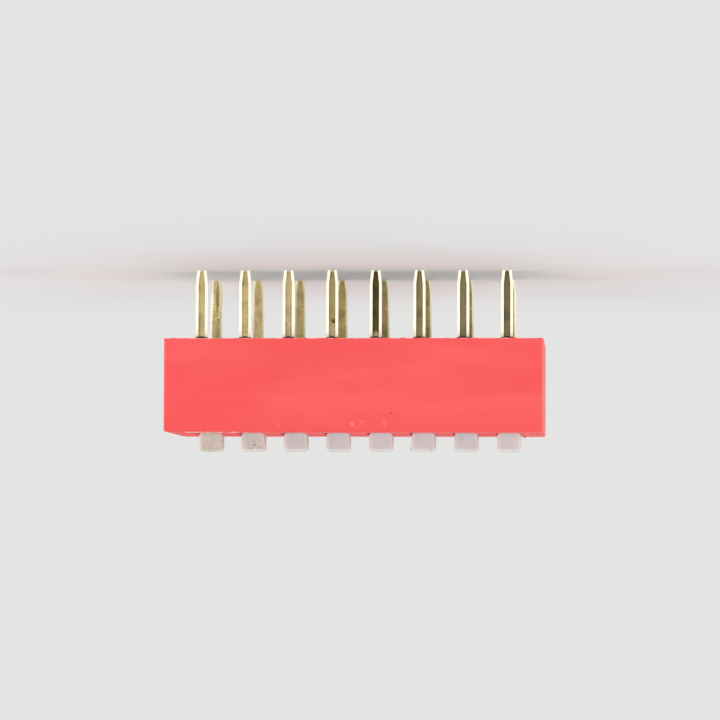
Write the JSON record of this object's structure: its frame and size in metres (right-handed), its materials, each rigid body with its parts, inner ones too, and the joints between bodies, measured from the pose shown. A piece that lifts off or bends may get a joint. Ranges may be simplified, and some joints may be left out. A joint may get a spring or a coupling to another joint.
{
  "type": "dip switch",
  "caption": "Slide DIP switch for a printed circuit board: a red cover with white sliders in a row and two rows of gold pins.",
  "frame": {"origin": "centre of the pin grid, on the seating plane where the underside meets the board", "axes": "+Z out of the board through the actuator face, +X along the row of sliders from position 1, +Y from the OFF end of the slots to the ON end"},
  "size_m": [0.022, 0.0098, 0.0104],
  "materials": {
    "housing_red": "semi-gloss moulded plastic",
    "base_black": "matt moulded plastic",
    "seal_resin": "cured dark sealing resin",
    "knob_white": "off-white moulded plastic, slightly soiled",
    "contact_spring": "plated spring strip",
    "terminal_gold": "thin gold plate, slightly tarnished"
  },
  "bodies": {
    "housing": {"cover": "housing_red", "base": "base_black", "epoxy_seal_front": "seal_resin", "epoxy_seal_back": "seal_resin", "terminal_01": "terminal_gold", "terminal_02": "terminal_gold", "terminal_03": "terminal_gold", "terminal_04": "terminal_gold", "terminal_05": "terminal_gold", "terminal_06": "terminal_gold", "terminal_07": "terminal_gold", "terminal_08": "terminal_gold", "terminal_09": "terminal_gold", "terminal_10": "terminal_gold", "terminal_11": "terminal_gold", "terminal_12": "terminal_gold", "terminal_13": "terminal_gold", "terminal_14": "terminal_gold", "terminal_15": "terminal_gold", "terminal_16": "terminal_gold"},
    "slider_1": {"slider_1": "knob_white", "contact_clip_1": "contact_spring"},
    "slider_2": {"slider_2": "knob_white", "contact_clip_2": "contact_spring"},
    "slider_3": {"slider_3": "knob_white", "contact_clip_3": "contact_spring"},
    "slider_4": {"slider_4": "knob_white", "contact_clip_4": "contact_spring"},
    "slider_5": {"slider_5": "knob_white", "contact_clip_5": "contact_spring"},
    "slider_6": {"slider_6": "knob_white", "contact_clip_6": "contact_spring"},
    "slider_7": {"slider_7": "knob_white", "contact_clip_7": "contact_spring"},
    "slider_8": {"slider_8": "knob_white", "contact_clip_8": "contact_spring"}
  },
  "joints": [
    {"name": "slider_1_slide", "type": "slide", "parent": "housing", "child": "slider_1", "axis": [0, 1, 0], "range_m": [0, 0.0034]},
    {"name": "slider_2_slide", "type": "slide", "parent": "housing", "child": "slider_2", "axis": [0, 1, 0], "range_m": [0, 0.0034]},
    {"name": "slider_3_slide", "type": "slide", "parent": "housing", "child": "slider_3", "axis": [0, 1, 0], "range_m": [0, 0.0034]},
    {"name": "slider_4_slide", "type": "slide", "parent": "housing", "child": "slider_4", "axis": [0, 1, 0], "range_m": [0, 0.0034]},
    {"name": "slider_5_slide", "type": "slide", "parent": "housing", "child": "slider_5", "axis": [0, 1, 0], "range_m": [0, 0.0034]},
    {"name": "slider_6_slide", "type": "slide", "parent": "housing", "child": "slider_6", "axis": [0, 1, 0], "range_m": [0, 0.0034]},
    {"name": "slider_7_slide", "type": "slide", "parent": "housing", "child": "slider_7", "axis": [0, 1, 0], "range_m": [0, 0.0034]},
    {"name": "slider_8_slide", "type": "slide", "parent": "housing", "child": "slider_8", "axis": [0, 1, 0], "range_m": [0, 0.0034]}
  ]
}
